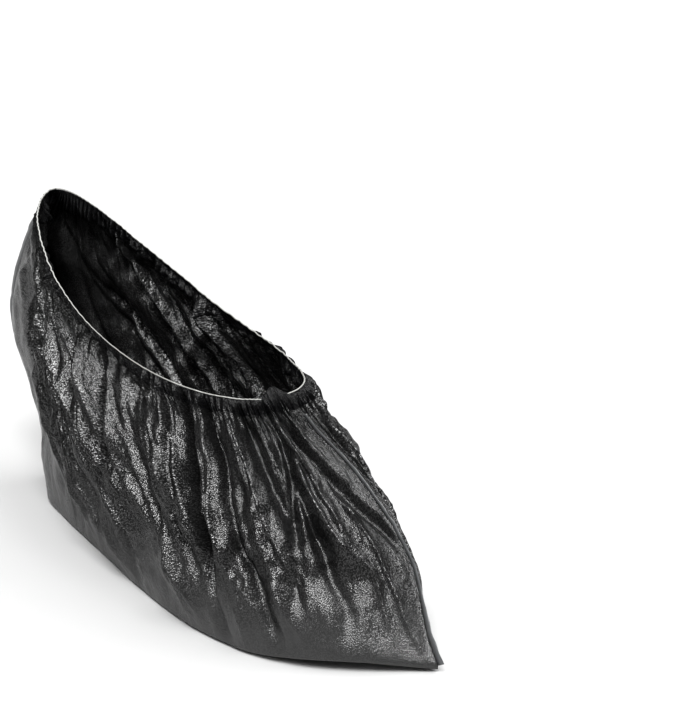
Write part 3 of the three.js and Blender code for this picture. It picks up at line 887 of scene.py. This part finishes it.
def film_colour(material, bare, seen, dark, light):
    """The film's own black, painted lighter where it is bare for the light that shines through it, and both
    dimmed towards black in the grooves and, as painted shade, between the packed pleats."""
    # Painted light: lighter where bare, for the light that shines through the thin film
    tone = add(material, "ShaderNodeMix", {"Factor": (bare, "Fac")}, data_type="RGBA")
    tone.inputs["A"].default_value = linear(dark)
    tone.inputs["B"].default_value = linear(light)
    depth = add(material, "ShaderNodeMapRange", {"Value": (seen, "Value")}, To_Min=0.35, To_Max=1.0)
    dimmed = {"Factor": (depth, "Result"), "B": (tone, "Result")}
    shaded = add(material, "ShaderNodeMix", dimmed, data_type="RGBA")
    shaded.inputs["A"].default_value = linear("#000000")
    return shaded


def embossed_film(name, dark, light, roughness, emboss, crumple):
    """Cast film pressed between rollers, with the dents of film that was packed and handled."""
    material, output = new_material(name)
    uv = add(material, "ShaderNodeUVMap", uv_map="film_metres")
    bare = add(material, "ShaderNodeAttribute", attribute_name="bare")
    dots = add(
        material, "ShaderNodeTexVoronoi", {"Vector": (uv, "UV")}, Scale=1 / EMBOSS["spacing"], Randomness=0.8
    )
    normal = emboss_normal(material, uv, dots, bare, emboss, crumple)
    seen = emboss_reflection(material, dots, bare)
    colour = film_colour(material, bare, seen, dark, light)
    cloud = add(material, "ShaderNodeTexNoise", {"Vector": (uv, "UV")}, Scale=1 / CLOUD_SIZE, Detail=2.0)
    gloss = add(
        material,
        "ShaderNodeMapRange",
        {"Value": (cloud, "Fac")},
        To_Min=roughness - 0.06,
        To_Max=roughness + 0.08,
    )
    shader = add(
        material,
        "ShaderNodeBsdfPrincipled",
        {
            "Normal": (normal, "Normal"),
            "Base Color": (colour, "Result"),
            "Roughness": (gloss, "Result"),
            "Specular IOR Level": (seen, "Value"),
        },
        IOR=PLASTIC_IOR,
    )
    material.node_tree.links.new(shader.outputs["BSDF"], output.inputs["Surface"])
    print(name, len(material.node_tree.nodes), "nodes")
    return material


# The second colour is painted light: lighter where the film is bare and light shines through it
film_material = embossed_film("black embossed polyethylene film", "#131313", "#242424", 0.27, 1.0, 0.3)
# The hem is the same film: its darker colours are painted shade among the gathers
hem_material = embossed_film("black film in painted shade, turned and gathered", "#0b0b0c", "#131314", 0.3, 1.0, 0.4)

# %% [markdown]
# The elastic is pale latex, slightly dull, and the seals are film that was melted and set again, which is
# greyer than the film and wavy. Both are one colour with a soft grain.

# %% Elastic and seals
GRAIN_DEPTH = 0.0003


def plain_plastic(name, colour, roughness, grain_size, grain_strength):
    """A drawn or melted plastic surface: one colour, with a soft grain that unsettles its gloss."""
    material, output = new_material(name)
    where = add(material, "ShaderNodeTexCoord")
    grain = add(
        material, "ShaderNodeTexNoise", {"Vector": (where, "Object")}, Scale=1 / grain_size, Detail=2.0
    )
    bump = add(
        material, "ShaderNodeBump", {"Height": (grain, "Fac")}, Strength=grain_strength, Distance=GRAIN_DEPTH
    )
    shader = add(
        material,
        "ShaderNodeBsdfPrincipled",
        {"Normal": (bump, "Normal")},
        Roughness=roughness,
        IOR=PLASTIC_IOR,
    )
    shader.inputs["Base Color"].default_value = linear(colour)
    material.node_tree.links.new(shader.outputs["BSDF"], output.inputs["Surface"])
    return material


elastic_material = plain_plastic("pale latex thread", "#7f7f7c", 0.35, 0.002, 0.5)
seal_material = plain_plastic("heat-sealed film edge", "#3c3d3e", 0.3, 0.0025, 0.6)

for piece, material in (
    (film, film_material),
    (hem, hem_material),
    (elastic, elastic_material),
    (heel_seal, seal_material),
    (toe_seal, seal_material),
):
    piece.data.materials.append(material)
    print(piece.name, "is", material.name)

# %% [markdown]
# The attribute packed is painted shade: 1 below the elastic, ending in a ragged edge, as the pleats do. The
# attribute bare, where the film is painted lighter for the light that shines through it, is the largest of
# three shares: beside the heel's seal, at the toe's tip, and in a low band where the film stands off from
# whatever is inside it.

# %% Painted shade where the pleats are packed, and painted light where the film is bare
# How far down the painted shade below the elastic reaches
PLEAT_SHADE_REACH = {"foot": 16, "ankle": 24}  # millimetres down, and what is added to it at the ankle
RAGGED_REACH = {"foot": 16, "ankle": 12}
# How much of the painted light, and of the smoothing, of bare film each place gets
BARE_LIT_THROUGH = {"heel": 0.6, "low band": 0.95}


def pleat_shade_share(places, down):
    """Painted shade: 1 where the pleats stand so close below the elastic that no light gets in, with a ragged
    edge.
    """
    s = along_seams(places)[0] + SIDE_LENGTH * gather_slant(places, down) + 700 * far_side(places)
    ragged = 0.2 * value_noise(s / 2.2, down / 9, SEEDS["packed edge"])
    ragged += 0.17 * value_noise(s / 6, 0 * down, SEEDS["packed columns"])
    ragged *= RAGGED_REACH["foot"] + RAGGED_REACH["ankle"] * ankle_share(places)
    reach = PLEAT_SHADE_REACH["foot"] + PLEAT_SHADE_REACH["ankle"] * ankle_share(places)
    return 1 - smoothstep(down + ragged - 5 * tuck_share(places), 0.4 * reach, reach)


def bare_share(places, up):
    """Where the film is bare: smoother, and painted lighter for light shining through; the largest of heel,
    tip and low band.
    """
    heel, toe, _ = along_seams(places)
    at_heel = BARE_LIT_THROUGH["heel"] * (1 - smoothstep(heel, 8, 46)) * (1 - smoothstep(up, 0.45, 0.85))
    at_tip = (1 - smoothstep(toe, 4, 36)) * (1 - smoothstep(up, 0.05, 0.35))
    uneven = up + 0.1 * value_noise(heel / 24, up * 7, SEEDS["bare edge"])
    low_band = BARE_LIT_THROUGH["low band"] * (1 - smoothstep(uneven, 0.06, 0.4))
    return np.maximum(np.maximum(at_heel, at_tip), low_band)


bare = bare_share(PLACES, ups)
bare = np.concatenate([bare, np.repeat(bare[:, -1:], SOLE_ROWS, 1)], 1).T
film_pleat_shade = np.concatenate([pleat_shade_share(PLACES, downs), np.zeros((len(PLACES), SOLE_ROWS))], 1).T
hem_pleat_shade = np.tile(pleat_shade_share(HEM_PLACES, np.broadcast_to(rows, (len(HEM_PLACES), len(rows)))), (1, 2)).T
# bare is painted light and packed is painted shade, on the film and the hem
for piece, name, values in (
    (film, "bare", bare),
    (film, "packed", film_pleat_shade),
    (hem, "packed", hem_pleat_shade),
):
    attribute = piece.data.attributes.new(name, "FLOAT", "POINT")
    attribute.data.foreach_set("value", values.astype(np.float32).ravel())
    print(piece.name, name, "mean", values.mean().round(2))

# %% [markdown]
# ## What each piece rides on and stands for
#
# Nothing turns or slides, so every piece rides on the root. Each one stands for the CAD node it replaces.

# %% Frame calls
for piece, node, slot in (
    (film, "film_body", "film"),
    (hem, "gathered_hem", "hem"),
    (elastic, "elastic_band", "elastic"),
    (heel_seal, "heel_weld", "weld"),
    (toe_seal, "toe_weld", "weld"),
):
    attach(piece, "root")
    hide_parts(node)

# %% [markdown]
# ## Floor, light and camera
#
# The cover stands on a pale seamless floor. Its light is soft: a key light high at the front, a faint wider
# one beside it, one over the toe, a wide one from behind that lights the floor and the far edges, and a dim
# room.

# %% Floor
FLOOR_SIZE, FLOOR_DROP = 8, 0.0002
bpy.ops.mesh.primitive_plane_add(size=FLOOR_SIZE, location=(0, 0, -FLOOR_DROP))
floor = bpy.context.object
floor.name = "floor"
floor_material, floor_output = new_material("white studio paper")
floor_shader = add(floor_material, "ShaderNodeBsdfPrincipled", Roughness=0.9)
floor_shader.inputs["Base Color"].default_value = linear("#959595")
floor_material.node_tree.links.new(floor_shader.outputs["BSDF"], floor_output.inputs["Surface"])
floor.data.materials.append(floor_material)
print("floor", FLOOR_SIZE, "m wide")

# %% Light
world = bpy.data.worlds.new("bright room")
bpy.context.scene.world = world
world.use_nodes = True
world.node_tree.nodes["Background"].inputs["Color"].default_value = linear("#ffffff")
world.node_tree.nodes["Background"].inputs["Strength"].default_value = 0.2


def soft_sun(name, azimuth, elevation, strength, width):
    """Far light as wide as an angle, from a direction in degrees: azimuth 0 is the near side, 90 the toe."""
    lamp = bpy.data.lights.new(name, "SUN")
    lamp.energy, lamp.angle = strength, np.radians(width)
    holder = bpy.data.objects.new(name, lamp)
    bpy.context.scene.collection.objects.link(holder)
    turned, raised = np.radians(azimuth), np.radians(elevation)
    level = np.cos(raised)
    towards = Vector((np.sin(turned) * level, -np.cos(turned) * level, np.sin(raised)))
    holder.rotation_mode = "QUATERNION"
    holder.rotation_quaternion = (-towards).to_track_quat("-Z", "Y")
    print(name, "from", azimuth, elevation)


soft_sun("key light", 38, 62, 6.6, 26)
soft_sun("low key light", 22, 48, 1.0, 30)
soft_sun("light on the toe", 84, 64, 1.8, 26)
soft_sun("wide light from behind", 160, 60, 3.0, 50)

# %% [markdown]
# The camera stands at the photograph's viewing angle. Its place follows from one point: the toe's tip has
# to fall on its own pixel, at the camera's distance along the ray through that pixel.

# %% Camera
IMAGE = (679, 718)
FOCAL_PIXELS = 2850.0
AZIMUTH, ELEVATION = np.radians(46.9), np.radians(24.0)
TIP, TIP_PIXEL, DISTANCE = np.array([316, 0, 2.0]), (442.5, 671), 1500.0
SENSOR_WIDTH = 36

right = np.array([np.cos(AZIMUTH), np.sin(AZIMUTH), 0])
level = np.cos(ELEVATION)
back = np.array([np.sin(AZIMUTH) * level, -np.cos(AZIMUTH) * level, np.sin(ELEVATION)])
upward = np.cross(back, right)
aside, below = ((TIP_PIXEL[k] - IMAGE[k] / 2) / FOCAL_PIXELS for k in (0, 1))
ray = aside * right - below * upward - back
camera_place = to_metres(TIP - DISTANCE * ray)
camera_data = bpy.data.cameras.new("camera")
camera_data.sensor_width = SENSOR_WIDTH
camera_data.lens = FOCAL_PIXELS / max(IMAGE) * SENSOR_WIDTH
camera = bpy.data.objects.new("camera", camera_data)
bpy.context.scene.collection.objects.link(camera)
camera_matrix = np.eye(4)
camera_matrix[:3] = np.stack([right, upward, back, camera_place], 1)
camera.matrix_world = Matrix(camera_matrix.tolist())
bpy.context.scene.camera = camera
bpy.context.scene.view_settings.view_transform = "Standard"
print("camera", [round(v, 3) for v in camera.location], "lens", round(camera_data.lens, 1))
